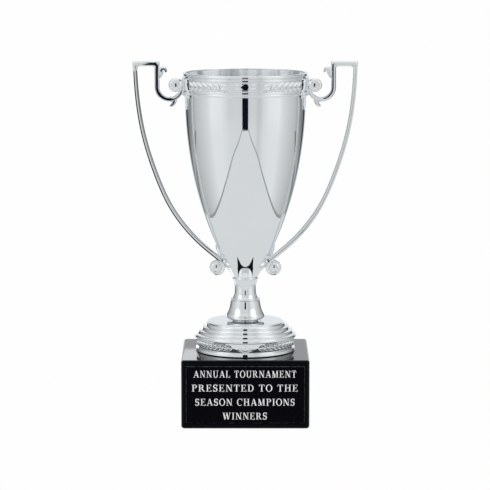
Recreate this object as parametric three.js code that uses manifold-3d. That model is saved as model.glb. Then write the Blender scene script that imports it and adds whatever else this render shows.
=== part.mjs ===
// Two-handled loving-cup trophy on a square weighted base.
// Millimetres, +Z up, front towards -Y. The origin is the centre of the base's underside.
//
// The plated cup is a stack of turned pieces clamped by one tie rod: bowl, stem ring, waist, collar, knop,
// spool, foot and base. Two cast handles are screwed to the bowl through its wall. Nothing moves.

import * as THREE from "three";
import { mergeVertices } from "three/addons/utils/BufferGeometryUtils.js";
import Module from "manifold-3d";

const wasm = await Module();
wasm.setup();

// ---------------------------------------------------------------------------------------------------------
// Driving dimensions
// ---------------------------------------------------------------------------------------------------------

const SEGMENTS = 32; // facets around every large turned piece, so that nested pieces line up
const STEM_SEGMENTS = 20; // facets around the stem's pieces and the handles' scrolls
const SMALL_SEGMENTS = 12; // facets around rods, screws and their holes
const GAP = 0.3; // clearance between curved neighbours

const base = { width: 76.2, height: 41.2, wall: 2.6, top: 3.0, edge: 1.6, corner: 2.2 };
const plate = { width: 70.7, height: 34.6, thickness: 0.8 };
const tape = { margin: 2.4, thickness: 0.2 };
const recess = { clearance: 0.35, depth: plate.thickness + tape.thickness };
const post = { radius: 3.5, pilot: 1.6, inset: 6.6 };

const felt = { width: 70.0, thickness: 0.8 };
const cover = { width: 70.2, thickness: 2.2 };
const coverScrew = { shank: 1.3, head: 2.6, headHeight: 1.2, length: 9.0 };
const weight = { radius: 33.0, hole: 13.5, thickness: 12.0 };

const rod = { radius: 2.4, hole: 2.8, bottom: 29.5, top: 92.4 };
const nut = { flats: 8.0, height: 4.0, hole: 2.7 };
const bowlWasher = { radius: 5.2, thickness: 1.0 };
const baseWasher = { radius: 12.0, thickness: 1.2 };
const lockWasher = { radius: 4.6, thickness: 1.0 };

// Heights of the joints in the stack above the base.
const level = {
  base: base.height,
  platform: 59.4, // top of the foot, under the spool
  spool: 60.4,
  knop: 72.0,
  collar: 73.0,
  waist: 84.6,
  bowl: 85.6, // underside of the bowl
  band: 196.4, // lower edge of the rim band
  lip: 209.2, // top of the rim
};

const foot = { ceiling: level.platform - 1.4 }; // underside of the foot's platform
const bowl = { wall: 0.85, floor: 1.2, mouth: 36.35, mouthWall: 0.6, edge: level.lip - 0.6 };

// Handle, drawn for +X in the XZ plane.
const handle = {
  thickness: 4.4, // front to back
  chamfer: 0.6,
  top: 215.9,
  bar: 3.1, // height of the top bar
  outer: 67.4, // outer end of the top bar
  inner: 51.2, // inner end of the top bar
  leg: 3.1, // width of the outer leg
  hook: { x: 45.4, z: 200.4, radius: 7.3, width: 2.9 }, // the J-shaped inner arm
};
const upperScroll = { x: 42.2, z: 201.6, radius: 4.1, thickness: 5.8, dome: 0.9 };
const lowerScroll = { x: 17.2, z: 91.4, radius: 4.5, thickness: 5.6, dome: 0.9 };
const lowerJoint = { r: 13.2, z: 96.5, slope: 27.5 }; // where the leg meets the bowl, and the wall's lean

const bracket = { inner: 37.5, outer: 38.05, skirtInner: 37.0, skirtOuter: 37.6, top: 206.9, bottom: 188.2 };
const handleScrew = { shank: 1.45, hole: 1.8, head: 2.4, headHeight: 1.5, washer: 3.2, washerThickness: 0.5 };

// ---------------------------------------------------------------------------------------------------------
// Materials
// ---------------------------------------------------------------------------------------------------------

function material(color, roughness, metalness) {
  return new THREE.MeshStandardMaterial({ color, roughness, metalness });
}

const chrome = () => material(0xd9dde0, 0.08, 1.0);
const blackGloss = () => material(0x0c0d10, 0.15, 0.0);
const blackPaint = () => material(0x101116, 0.3, 0.0);
const steel = () => material(0x9a9ca0, 0.35, 1.0);
const iron = () => material(0x4a4a4c, 0.7, 0.6);
const greyPlastic = () => material(0x55585c, 0.55, 0.0);
const fibreboard = () => material(0x6d5a45, 0.85, 0.0);
const darkFelt = () => material(0x16331f, 0.95, 0.0);
const foamTape = () => material(0xe6e6e0, 0.8, 0.0);

// ---------------------------------------------------------------------------------------------------------
// Shape helpers
// ---------------------------------------------------------------------------------------------------------

const point = (x, y) => new THREE.Vector2(x, y);

// A closed solid from a three.js geometry, ready to be joined or cut.
function solidOf(geometry) {
  const loose = geometry.index ? geometry.toNonIndexed() : geometry;
  const bare = new THREE.BufferGeometry();
  bare.setAttribute("position", loose.getAttribute("position"));
  const merged = mergeVertices(bare, 1e-4);
  const vertProperties = merged.attributes.position.array;
  const triVerts = new Uint32Array(merged.index.array);
  return new wasm.Manifold(new wasm.Mesh({ numProp: 3, vertProperties, triVerts }));
}

// The three.js geometry of a joined or cut solid.
function geometryOf(solid) {
  const mesh = solid.getMesh();
  const geometry = new THREE.BufferGeometry();
  geometry.setAttribute("position", new THREE.BufferAttribute(mesh.vertProperties, 3));
  geometry.setIndex(new THREE.BufferAttribute(mesh.triVerts, 1));
  geometry.computeVertexNormals();
  return geometry;
}

function cut(geometry, ...tools) {
  return geometryOf(tools.reduce((solid, tool) => solid.subtract(solidOf(tool)), solidOf(geometry)));
}

function join(...geometries) {
  return geometryOf(geometries.map(solidOf).reduce((all, solid) => all.add(solid)));
}

// A ring or disc turned about Z from [radius, height] corners, listed anticlockwise: up the outside, then in.
function turned(corners, segments = SEGMENTS) {
  const profile = corners.map(([r, z]) => point(r, z));
  return new THREE.LatheGeometry([...profile, profile[0].clone()], segments).rotateX(Math.PI / 2);
}

function cylinderZ(radius, bottom, top, segments = SMALL_SEGMENTS) {
  return new THREE.CylinderGeometry(radius, radius, top - bottom, segments)
    .rotateX(Math.PI / 2)
    .translate(0, 0, (bottom + top) / 2);
}

function box(width, depth, bottom, top) {
  return new THREE.BoxGeometry(width, depth, top - bottom).translate(0, 0, (bottom + top) / 2);
}

// Points of a circular arc, angles in degrees.
function arc(x, y, radius, from, to, steps) {
  return Array.from({ length: steps + 1 }, (_, i) => {
    const angle = THREE.MathUtils.degToRad(from + ((to - from) * i) / steps);
    return [x + radius * Math.cos(angle), y + radius * Math.sin(angle)];
  });
}

function roundedRectangle(width, height, radius) {
  const [x, y] = [width / 2 - radius, height / 2 - radius];
  const corners = [[x, -y, -90], [x, y, 0], [-x, y, 90], [-x, -y, 180]];
  const outline = corners.flatMap(([cx, cy, from]) => arc(cx, cy, radius, from, from + 90, 3));
  return new THREE.Shape(outline.map(([px, py]) => point(px, py)));
}

// A flat plate with a round hole, its underside at the given height.
function piercedPlate(outline, hole, bottom, thickness) {
  outline.holes.push(new THREE.Path().absarc(0, 0, hole, 0, Math.PI * 2, true));
  return new THREE.ExtrudeGeometry(outline, { depth: thickness, bevelEnabled: false, curveSegments: 9 })
    .translate(0, 0, bottom);
}

function circle(radius) {
  return new THREE.Shape().absarc(0, 0, radius, 0, Math.PI * 2, false);
}

function hexagon(acrossFlats) {
  const corner = acrossFlats / Math.sqrt(3);
  return new THREE.Shape(arc(0, 0, corner, 0, 300, 5).map(([x, y]) => point(x, y)));
}

// An outline in the XZ plane, thickened evenly to the front and back, with chamfered edges.
function slab(outline, thickness, chamfer = 0) {
  const settings = {
    depth: thickness - 2 * chamfer,
    bevelEnabled: chamfer > 0,
    bevelThickness: chamfer,
    bevelSize: chamfer,
    bevelOffset: -chamfer,
    bevelSegments: 1,
    curveSegments: 6,
  };
  return new THREE.ExtrudeGeometry(outline, settings)
    .translate(0, 0, chamfer - thickness / 2)
    .rotateX(Math.PI / 2);
}

// The outline of a strip that follows a path, with its width going from start to end.
function strip(path, start, end, steps) {
  const near = [];
  const far = [];
  for (let i = 0; i <= steps; i += 1) {
    const centre = path.getPointAt(i / steps);
    const along = path.getTangentAt(i / steps);
    const half = THREE.MathUtils.lerp(start, end, i / steps) / 2;
    const across = point(-along.y, along.x).multiplyScalar(half);
    near.push(centre.clone().add(across));
    far.unshift(centre.clone().sub(across));
  }
  return new THREE.Shape([...near, ...far]);
}

// An outline drawn as [y, z] on a plane facing +X, pushed through from one x to another.
function pushedAlongX(outline, from, to) {
  const turn = new THREE.Matrix4().makeBasis(
    new THREE.Vector3(0, 1, 0),
    new THREE.Vector3(0, 0, 1),
    new THREE.Vector3(1, 0, 0),
  );
  return new THREE.ExtrudeGeometry(outline, { depth: to - from, bevelEnabled: false })
    .applyMatrix4(turn)
    .translate(from, 0, 0);
}

const trophy = new THREE.Group();
trophy.name = "cup_trophy";

function add(name, geometry, look) {
  const mesh = new THREE.Mesh(geometry, look);
  mesh.name = name;
  trophy.add(mesh);
  return mesh;
}

// Adds the same piece on the right, as drawn, and on the left, turned half way round.
function addPair(name, geometry, look) {
  add(`${name}_right`, geometry, look());
  add(`${name}_left`, geometry.clone(), look()).rotation.z = Math.PI;
}

// ---------------------------------------------------------------------------------------------------------
// Base: hollow moulded block, with its weight, cover, felt and name plate
// ---------------------------------------------------------------------------------------------------------

const coverTop = felt.thickness + cover.thickness;
const postCentre = base.width / 2 - post.inset;
const postCentres = [[1, 1], [-1, 1], [-1, -1], [1, -1]].map(([sx, sy]) => [sx * postCentre, sy * postCentre]);

function baseShell() {
  const block = new THREE.ExtrudeGeometry(roundedRectangle(base.width, base.width, base.corner), {
    depth: base.height - 2 * base.edge,
    bevelThickness: base.edge,
    bevelSize: base.edge,
    bevelOffset: -base.edge,
    bevelSegments: 2,
  }).translate(0, 0, base.edge);
  const hollow = base.width - 2 * base.wall;
  const cavity = box(hollow, hollow, -1, base.height - base.top);
  const posts = postCentres.map(([x, y]) =>
    cylinderZ(post.radius, coverTop, base.height - base.top / 2).translate(x, y, 0),
  );
  const pilots = postCentres.map(([x, y]) => cylinderZ(post.pilot, 0, 16).translate(x, y, 0));
  const pocket = new THREE.BoxGeometry(
    plate.width + 2 * recess.clearance,
    2 * recess.depth,
    plate.height + 2 * recess.clearance,
  ).translate(0, -base.width / 2, base.height / 2);
  const rodHole = cylinderZ(rod.hole, 0, base.height + 1);
  return cut(join(cut(block, cavity), ...posts), ...pilots, pocket, rodHole);
}

function baseCover() {
  const board = box(cover.width, cover.width, felt.thickness, coverTop);
  const countersinks = postCentres.map(([x, y]) =>
    turned([
      [0, 0],
      [coverScrew.head + GAP, 0],
      [coverScrew.head + GAP, felt.thickness],
      [coverScrew.shank + GAP, felt.thickness + coverScrew.headHeight],
      [coverScrew.shank + GAP, coverTop + 1],
      [0, coverTop + 1],
    ], SMALL_SEGMENTS).translate(x, y, 0),
  );
  return cut(board, ...countersinks);
}

function countersunkScrew() {
  const neck = felt.thickness + coverScrew.headHeight;
  return turned([
    [0, felt.thickness],
    [coverScrew.head, felt.thickness],
    [coverScrew.shank, neck],
    [coverScrew.shank, felt.thickness + coverScrew.length],
    [0, felt.thickness + coverScrew.length],
  ], SMALL_SEGMENTS);
}

function baseWeight() {
  return turned([
    [weight.hole, coverTop],
    [weight.radius, coverTop],
    [weight.radius, coverTop + weight.thickness - 1],
    [weight.radius - 1, coverTop + weight.thickness],
    [weight.hole, coverTop + weight.thickness],
  ]);
}

function faceSheet(width, height, thickness, back) {
  return new THREE.BoxGeometry(width, thickness, height).translate(0, back - thickness / 2, base.height / 2);
}

add("base_shell", baseShell(), blackGloss());
add("base_cover", baseCover(), fibreboard());
postCentres.forEach(([x, y], i) => {
  add(`cover_screw_${i + 1}`, countersunkScrew(), steel()).position.set(x, y, 0);
});
add("base_weight", baseWeight(), iron());
add("base_felt", box(felt.width, felt.width, 0, felt.thickness), darkFelt());

const pocketFloor = -base.width / 2 + recess.depth;
const tapeWidth = plate.width - 2 * tape.margin;
const tapeHeight = plate.height - 2 * tape.margin;
add("plate_tape", faceSheet(tapeWidth, tapeHeight, tape.thickness, pocketFloor), foamTape());
const plateBack = pocketFloor - tape.thickness;
add("name_plate", faceSheet(plate.width, plate.height, plate.thickness, plateBack), blackPaint());

// ---------------------------------------------------------------------------------------------------------
// Tie rod and its fasteners
// ---------------------------------------------------------------------------------------------------------

const ceiling = base.height - base.top; // the inside face of the base's top
const bowlFloor = level.bowl + bowl.floor;
const baseWasherBottom = ceiling - baseWasher.thickness;
const lockWasherBottom = baseWasherBottom - lockWasher.thickness;

function washerOnRod({ radius, thickness }, bottom) {
  return piercedPlate(circle(radius), nut.hole, bottom, thickness);
}

function nutOnRod(bottom) {
  return piercedPlate(hexagon(nut.flats), nut.hole, bottom, nut.height);
}

add("tie_rod", cylinderZ(rod.radius, rod.bottom, rod.top), steel());
add("bowl_washer", washerOnRod(bowlWasher, bowlFloor), steel());
add("bowl_nut", nutOnRod(bowlFloor + bowlWasher.thickness), steel());
add("base_washer", washerOnRod(baseWasher, baseWasherBottom), steel());
add("lock_washer", washerOnRod(lockWasher, lockWasherBottom), steel());
add("base_nut", nutOnRod(lockWasherBottom - nut.height), steel());

// ---------------------------------------------------------------------------------------------------------
// Foot: a hollow moulding with four stepped rings over an upright band
// ---------------------------------------------------------------------------------------------------------

// A half-round moulding whose outermost point is at the given radius and height.
function bead(outermost, height, radius, from, to) {
  return arc(outermost - radius, height, radius, from, to, 2);
}

function footShell() {
  return turned([
    [27.4, level.base],
    ...bead(30.2, 42.5, 1.2, -80, 80),
    [28.7, 43.9],
    [29.6, 49.4],
    ...bead(30.7, 50.4, 0.9, -60, 80),
    ...bead(29.1, 52.7, 1.15, -40, 70),
    ...bead(26.7, 54.9, 1.15, -40, 70),
    ...bead(24.4, 57.0, 1.1, -40, 70),
    [21.6, 58.5],
    [16.0, 59.0],
    [9.0, level.platform],
    [rod.hole, level.platform],
    [rod.hole, foot.ceiling],
    [9.0, foot.ceiling],
    [15.5, 57.7],
    [20.8, 56.9],
    [27.2, 50.6],
    [26.6, 43.9],
  ]);
}

// The moulded insert that carries the rod's clamping load from the foot's platform to the base.
function footSpacer() {
  return turned([
    [rod.hole, level.base],
    [22.0, level.base],
    [22.0, level.base + 2.0],
    [9.5, level.base + 3.0],
    [8.0, level.base + 6.0],
    [8.0, foot.ceiling],
    [rod.hole, foot.ceiling],
  ]);
}

add("foot", footShell(), chrome());
add("foot_spacer", footSpacer(), greyPlastic());

// ---------------------------------------------------------------------------------------------------------
// Stem: spool, knop, collar, waist and the ring under the bowl
// ---------------------------------------------------------------------------------------------------------

function stemPiece(bottom, outline, top) {
  return turned([[rod.hole, bottom], ...outline, [rod.hole, top]], STEM_SEGMENTS);
}

const spoolOutline = [[7.4, level.platform], [7.1, 59.8], [7.3, level.spool]];
const knopOutline = [
  [8.6, level.spool],
  [10.9, 60.8],
  [12.1, 61.8],
  [11.8, 63.2],
  [10.7, 65.2],
  [9.95, 67.2],
  [9.6, 69.2],
  [9.5, 70.9],
  [8.7, level.knop],
];
const collarOutline = [[8.5, level.knop], [8.9, 72.3], [8.7, 72.8], [8.2, level.collar]];
const waistOutline = [
  [7.8, level.collar],
  [7.1, 74.4],
  [6.6, 76.2],
  [6.45, 78.8],
  [6.6, 81.2],
  [7.1, 83.2],
  [7.4, level.waist],
];
const ringOutline = [[7.4, level.waist], [7.8, 84.9], [7.8, 85.3], [7.4, level.bowl]];

add("stem_spool", stemPiece(level.platform, spoolOutline, level.spool), chrome());
add("stem_knop", stemPiece(level.spool, knopOutline, level.knop), chrome());
add("stem_collar", stemPiece(level.knop, collarOutline, level.collar), chrome());
add("stem_waist", stemPiece(level.collar, waistOutline, level.waist), chrome());
add("stem_ring", stemPiece(level.waist, ringOutline, level.bowl), chrome());

// ---------------------------------------------------------------------------------------------------------
// Bowl and rim band
// ---------------------------------------------------------------------------------------------------------

// The bowl's outside from its foot to the rim band, as a smooth curve of radius against height.
const bowlCurve = new THREE.SplineCurve([
  point(7.6, level.bowl),
  point(13.2, 96.5),
  point(20.8, 112.3),
  point(27.6, 131.5),
  point(32.6, 151.5),
  point(35.6, 171.5),
  point(36.8, level.band),
]);
const BOWL_STEPS = 10;

// Points up the bowl's wall, moved in from its outside by the given distance.
function wallPoints(inset) {
  return Array.from({ length: BOWL_STEPS + 1 }, (_, i) => {
    const place = bowlCurve.getPointAt(i / BOWL_STEPS);
    const along = bowlCurve.getTangentAt(i / BOWL_STEPS);
    return [place.x - along.y * inset, place.y + along.x * inset];
  });
}

function bowlShell() {
  const inside = wallPoints(bowl.wall)
    .slice(1, -1)
    .reverse();
  return turned([
    [rod.hole, level.bowl],
    ...wallPoints(0),
    [bowl.mouth, level.band + 0.2],
    [bowl.mouth, bowl.edge],
    [bowl.mouth - bowl.mouthWall, bowl.edge],
    [bowl.mouth - bowl.mouthWall, level.band],
    ...inside,
    [6.9, bowlFloor],
    [rod.hole, bowlFloor],
  ]);
}

// Everything within the bowl's outside plus a clearance, which the handle is cut back by.
function bowlEnvelope() {
  return turned([[0, level.bowl], ...wallPoints(-GAP), [0, level.band]]);
}

function rimBand() {
  const inner = bowl.mouth + 0.15;
  return turned([
    [inner, level.band + 0.2],
    [37.0, level.band + 0.2],
    [37.3, 197.1],
    [37.3, 198.4],
    [36.95, 198.9],
    [37.35, 199.7],
    [36.95, 200.5],
    [36.95, 206.1],
    [37.35, 206.8],
    [37.05, 207.5],
    [37.7, 207.9],
    [37.8, 208.6],
    [37.3, level.lip],
    [36.1, level.lip],
    [bowl.mouth - bowl.mouthWall, 208.9],
    [inner, 208.9],
  ]);
}

// Tools that drill the screw holes, along the upper and the lower handle screw.
const upperAxis = new THREE.Vector3(1, 0, 0);
const lean = THREE.MathUtils.degToRad(lowerJoint.slope);
const lowerAxis = new THREE.Vector3(Math.cos(lean), 0, -Math.sin(lean));
const lowerPoint = new THREE.Vector3(lowerJoint.r, 0, lowerJoint.z);

function alongAxis(geometry, start, axis) {
  const turn = new THREE.Quaternion().setFromUnitVectors(new THREE.Vector3(0, 0, 1), axis);
  return geometry.applyQuaternion(turn).translate(start.x, start.y, start.z);
}

const UPPER_THREAD = 42.2; // how far out the upper screw's hole reaches
const LOWER_THREAD = 5.6; // and how far the lower one's reaches past the bowl's wall
const drill = (from, to) => cylinderZ(handleScrew.hole, from, to);
const upperDrill = alongAxis(drill(30, UPPER_THREAD), new THREE.Vector3(0, 0, upperScroll.z), upperAxis);
const lowerDrill = alongAxis(drill(-4, LOWER_THREAD), lowerPoint, lowerAxis);
const drills = [upperDrill, lowerDrill].flatMap((tool) => [tool, tool.clone().rotateZ(Math.PI)]);

add("bowl", cut(bowlShell(), ...drills), chrome());
add("rim_band", cut(rimBand(), ...drills.slice(0, 2)), chrome());

// ---------------------------------------------------------------------------------------------------------
// Handle brackets: thin curved plates on the band, with two pointed tails down the bowl
// ---------------------------------------------------------------------------------------------------------

function bracketPlate() {
  const sleeve = turned([
    [bracket.skirtInner, bracket.bottom - 1],
    [bracket.skirtOuter, bracket.bottom - 1],
    [bracket.skirtOuter, 195.4],
    [bracket.outer, 196.2],
    [bracket.outer, bracket.top + 0.3],
    [bracket.inner, bracket.top + 0.3],
    [bracket.inner, 196.0],
    [bracket.skirtInner, 195.2],
  ], SEGMENTS);
  const half = [
    [0, 194.6],
    [5.5, 196.2],
    [9.8, 196.6],
    [11.4, 194.4],
    [12.5, bracket.bottom],
    [13.6, 194.4],
    [15.6, 197.4],
    [14.6, 201.8],
    [14.0, bracket.top],
  ];
  const otherHalf = half
    .slice(1)
    .reverse()
    .map(([y, z]) => [-y, z]);
  const outline = new THREE.Shape([...half, ...otherHalf].map(([y, z]) => point(y, z)));
  const blank = solidOf(sleeve).intersect(solidOf(pushedAlongX(outline, 20, 45)));
  return cut(geometryOf(blank), upperDrill);
}

addPair("handle_bracket", bracketPlate(), chrome);

// ---------------------------------------------------------------------------------------------------------
// Handles: one casting each, a square-shouldered loop that ends in a scroll at both ends
// ---------------------------------------------------------------------------------------------------------

// A round boss across the handle, with domed faces.
function scroll({ x, z, radius, thickness, dome }) {
  const half = thickness / 2;
  const rim = half - dome;
  const corners = [
    [0, -half],
    [radius * 0.6, -half + dome * 0.3],
    [radius, -rim],
    [radius, rim],
    [radius * 0.6, half - dome * 0.3],
    [0, half],
  ];
  return new THREE.LatheGeometry(corners.map(([r, y]) => point(r, y)), STEM_SEGMENTS).translate(x, 0, z);
}

function topBar() {
  const [length, height] = [handle.outer - handle.inner, handle.bar];
  const outline = new THREE.Shape([
    point(handle.inner, handle.top - height),
    point(handle.outer, handle.top - height),
    ...arc(handle.outer - 1, handle.top - 1, 1, 0, 90, 3).map(([x, z]) => point(x, z)),
    point(handle.outer - length, handle.top),
  ]);
  return slab(outline, handle.thickness, handle.chamfer);
}

function outerLeg() {
  const path = new THREE.SplineCurve([
    point(handle.outer - handle.leg / 2, handle.top - handle.bar / 2),
    point(65.3, 203.0),
    point(64.3, 190.5),
    point(61.6, 174.3),
    point(57.2, 158.1),
    point(51.3, 141.8),
    point(43.2, 125.6),
    point(30.2, 109.3),
    point(14.6, 95.9),
  ]);
  return slab(strip(path, handle.leg, handle.leg + 0.7, 20), handle.thickness, handle.chamfer);
}

function hookArm() {
  const { x, z, radius, width } = handle.hook;
  const path = new THREE.Path()
    .moveTo(x + radius, handle.top - handle.bar / 2)
    .lineTo(x + radius, z)
    .absarc(x, z, radius, 0, -Math.PI, true);
  return slab(strip(path, width, width - 0.8, 18), handle.thickness, handle.chamfer);
}

// A small leaf that curls off the arm, as a tapered strip through the given points.
function curl(places, width) {
  const path = new THREE.SplineCurve(places.map(([x, z]) => point(x, z)));
  return slab(strip(path, width, width * 0.45, 6), handle.thickness * 0.75);
}

// The leaf-shaped pad that lies on the bowl under the leg's end.
function lowerPad() {
  const sleeve = turned([[0, level.bowl], ...wallPoints(-GAP - 1.1), [0, level.band]]);
  const leaf = new THREE.Shape()
    .moveTo(0, 104.0)
    .quadraticCurveTo(-6.5, 97.5, 0, 90.5)
    .quadraticCurveTo(6.5, 97.5, 0, 104.0);
  return geometryOf(solidOf(sleeve).intersect(solidOf(pushedAlongX(leaf, 6, 25))));
}

function handleCasting() {
  const upperBoss = new THREE.CylinderGeometry(2.6, 2.6, 4, SMALL_SEGMENTS)
    .rotateZ(Math.PI / 2)
    .translate(bracket.outer + 2, 0, upperScroll.z);
  const bracketEnvelope = cylinderZ(bracket.outer + GAP, bracket.bottom, level.lip, SEGMENTS);
  const upperLeaf = curl([[52.4, 207.9], [50.2, 208.6], [49.3, 210.7], [47.9, 210.2]], 1.7);
  const lowerLeaf = curl([[43.6, 193.6], [42.6, 191.4], [43.2, 189.6], [45.0, 189.0]], 1.9);
  const whole = join(
    topBar(),
    outerLeg(),
    hookArm(),
    scroll(upperScroll),
    scroll(lowerScroll),
    upperBoss,
    upperLeaf,
    lowerLeaf,
    lowerPad(),
  );
  return cut(whole, bowlEnvelope(), bracketEnvelope, upperDrill, lowerDrill);
}

addPair("handle", handleCasting(), chrome);

// ---------------------------------------------------------------------------------------------------------
// Handle screws and washers, inside the bowl
// ---------------------------------------------------------------------------------------------------------

// A pan-head screw whose head's underside is at zero and whose shank runs towards +Z.
function panHeadScrew(length) {
  const { shank, head, headHeight } = handleScrew;
  return turned([
    [0, -headHeight],
    [head * 0.6, -headHeight],
    [head, -headHeight * 0.5],
    [head, 0],
    [shank, 0],
    [shank, length],
    [0, length],
  ], SMALL_SEGMENTS);
}

function screwWasher() {
  const { washer, hole, washerThickness } = handleScrew;
  return piercedPlate(circle(washer), hole, 0, washerThickness);
}

// The washer's seat stands off the curved wall by what the wall's roundness takes up.
const upperSeat = new THREE.Vector3(bowl.mouth - bowl.mouthWall - 1.1, 0, upperScroll.z);
const lowerSeat = lowerPoint.clone().addScaledVector(lowerAxis, -(bowl.wall + 1.3));
const joints = [
  ["upper", upperSeat, upperAxis, UPPER_THREAD - upperSeat.x - 1],
  ["lower", lowerSeat, lowerAxis, LOWER_THREAD + bowl.wall + 0.3],
];

joints.forEach(([where, seat, axis, length]) => {
  addPair(`${where}_washer`, alongAxis(screwWasher(), seat, axis), steel);
  addPair(`${where}_screw`, alongAxis(panHeadScrew(length), seat, axis), steel);
});

export default trophy;
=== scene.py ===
"""Looks for the two-handled cup trophy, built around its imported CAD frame.

Shapes are written in millimetres in the frame's own axes, +Z up and the front towards -Y, and are scaled to
metres when a mesh is made. Heights and radii that the CAD part fixes are read from the frame.
"""

from math import cos, pi, radians, sin, sqrt, tan

import bmesh
import bpy
import numpy as np
from mathutils import Matrix, Vector


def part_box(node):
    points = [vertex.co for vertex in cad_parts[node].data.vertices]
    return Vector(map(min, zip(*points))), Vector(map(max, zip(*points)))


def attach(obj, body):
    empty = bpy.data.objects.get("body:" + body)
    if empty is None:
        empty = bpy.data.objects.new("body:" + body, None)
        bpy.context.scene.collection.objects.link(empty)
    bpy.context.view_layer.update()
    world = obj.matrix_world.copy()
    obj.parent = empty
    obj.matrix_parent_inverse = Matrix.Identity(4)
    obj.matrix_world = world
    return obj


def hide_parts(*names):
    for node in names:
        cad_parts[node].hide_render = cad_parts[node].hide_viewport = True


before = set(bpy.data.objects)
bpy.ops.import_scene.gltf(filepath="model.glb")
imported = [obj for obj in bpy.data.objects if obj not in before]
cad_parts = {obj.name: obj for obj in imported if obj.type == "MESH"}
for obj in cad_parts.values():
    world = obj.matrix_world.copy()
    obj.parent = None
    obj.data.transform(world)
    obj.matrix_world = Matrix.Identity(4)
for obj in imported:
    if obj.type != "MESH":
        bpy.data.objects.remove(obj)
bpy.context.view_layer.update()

MM = 0.001
TURN = 2 * pi


# ---- Sizes taken from the frame, in millimetres


def low(node):
    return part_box(node)[0] / MM


def high(node):
    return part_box(node)[1] / MM


BASE_TOP = high("base_shell").z
BASE_HALF = high("base_shell").x
PLATFORM = high("foot").z
SPOOL_TOP = high("stem_spool").z
KNOP_TOP = high("stem_knop").z
COLLAR_TOP = high("stem_collar").z
WAIST_TOP = high("stem_waist").z
BOWL_FOOT = high("stem_ring").z
BAND_FOOT = low("rim_band").z
LIP = high("rim_band").z
LIP_RADIUS = high("rim_band").x
HANDLE_TOP = high("handle_right").z
HANDLE_REACH = high("handle_right").x
HANDLE_HALF = 2.2
# Each handle sits this many degrees round from square, which shows in what its front face mirrors.
HANDLE_SKEW = 0.7
PLATE_FACE = low("name_plate").y
PLATE_BACK = high("name_plate").y
PLATE_WIDTH = 2 * high("name_plate").x
PLATE_HEIGHT = high("name_plate").z - low("name_plate").z
PLATE_MIDDLE = (high("name_plate").z + low("name_plate").z) / 2
POCKET_FLOOR = high("plate_tape").y
ROD_HOLE = 2.8

UPPER_SCROLL = Vector((41.8, 201.6))
LOWER_SCROLL = Vector((17.2, 91.4))
BAND_RADIUS = 36.95
WREATH_HEIGHT = 202.9


# ---- Curves in a plane


def arc(x, y, radius, start, end, steps):
    """Points of a circular arc, with its angles in degrees."""
    angles = np.radians(np.linspace(start, end, steps + 1))
    return [(x + radius * cos(a), y + radius * sin(a)) for a in angles]


def through(points, steps):
    """A smooth curve through the points, with the given number of steps between neighbours."""
    knots = np.array(points, float)
    bend = np.zeros_like(knots)
    system = np.eye(len(knots))
    for i in range(1, len(knots) - 1):
        system[i, i - 1 : i + 2] = (1, 4, 1)
        bend[i] = 6 * (knots[i - 1] - 2 * knots[i] + knots[i + 1])
    bend = np.linalg.solve(system, bend)
    curve = []
    for i in range(len(knots) - 1):
        for far in np.linspace(0, 1, steps, endpoint=False):
            near = 1 - far
            straight = near * knots[i] + far * knots[i + 1]
            curve.append(straight + ((near**3 - near) * bend[i] + (far**3 - far) * bend[i + 1]) / 6)
    return [tuple(place) for place in [*curve, knots[-1]]]


def filleted(corners, steps=5):
    """A closed outline from (x, y, fillet radius) corners."""
    outline = []
    for i, (x, y, radius) in enumerate(corners):
        here = Vector((x, y))
        before = Vector(corners[i - 1][:2]) - here
        after = Vector(corners[(i + 1) % len(corners)][:2]) - here
        half = before.angle(after) / 2
        reach = min(radius / tan(half), 0.48 * before.length, 0.48 * after.length)
        if radius == 0 or half > 1.5:
            outline.append((x, y))
            continue
        start = here + before.normalized() * reach
        end = here + after.normalized() * reach
        for t in np.linspace(0, 1, steps + 1):
            place = start * (1 - t) ** 2 + here * 2 * t * (1 - t) + end * t**2
            outline.append((place.x, place.y))
    return outline


def sides(path, widths):
    """The left and right edges of a strip along a path, as pairs of points."""
    places = np.array(path)
    along = np.gradient(places, axis=0)
    along /= np.linalg.norm(along, axis=1)[:, None]
    left = np.stack([-along[:, 1], along[:, 0]], axis=1)
    half = np.array(widths)[:, None] / 2
    return list(zip(places + left * half, places - left * half))


# ---- Closed shapes: a shape is its list of points and its list of faces


def skin(loops, closed=False):
    """The surface through equal loops of points, closed on itself or capped at both ends."""
    size = len(loops[0])
    points = [place for loop in loops for place in loop]
    faces = []
    for i in range(len(loops) if closed else len(loops) - 1):
        near, far = i * size, (i + 1) % len(loops) * size
        for k in range(size):
            after = (k + 1) % size
            faces.append((near + k, near + after, far + after, far + k))
    if not closed:
        faces.append(tuple(range(size)))
        faces.append(tuple(len(points) - 1 - k for k in range(size)))
    return points, faces


def turned(outline, segments):
    """A solid turned about the Z axis from the (radius, height) points round its section."""
    angles = np.linspace(0, TURN, segments, endpoint=False)
    loops = [[(r * cos(a), r * sin(a), z) for r, z in outline] for a in angles]
    return skin(loops, closed=True)


def together(*shapes):
    points, faces = [], []
    for more_points, more_faces in shapes:
        shift = len(points)
        points.extend(more_points)
        faces.extend(tuple(k + shift for k in face) for face in more_faces)
    return points, faces


def mapped(shape, place):
    """The shape with each of its points put through a function of x, y and z."""
    points, faces = shape
    return [tuple(place(*point)) for point in points], faces


def moved(shape, matrix):
    return mapped(shape, lambda x, y, z: matrix @ Vector((x, y, z)))


def half_turn(shape):
    """The shape turned half way round, which takes a right-hand piece to the left."""
    return mapped(shape, lambda x, y, z: (-x, -y, z))


def onto_axis(start, direction):
    """The move that takes the Z axis to a line from a point along a direction."""
    turn = Vector(direction).to_track_quat("Z", "Y").to_matrix().to_4x4()
    return Matrix.Translation(start) @ turn


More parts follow.
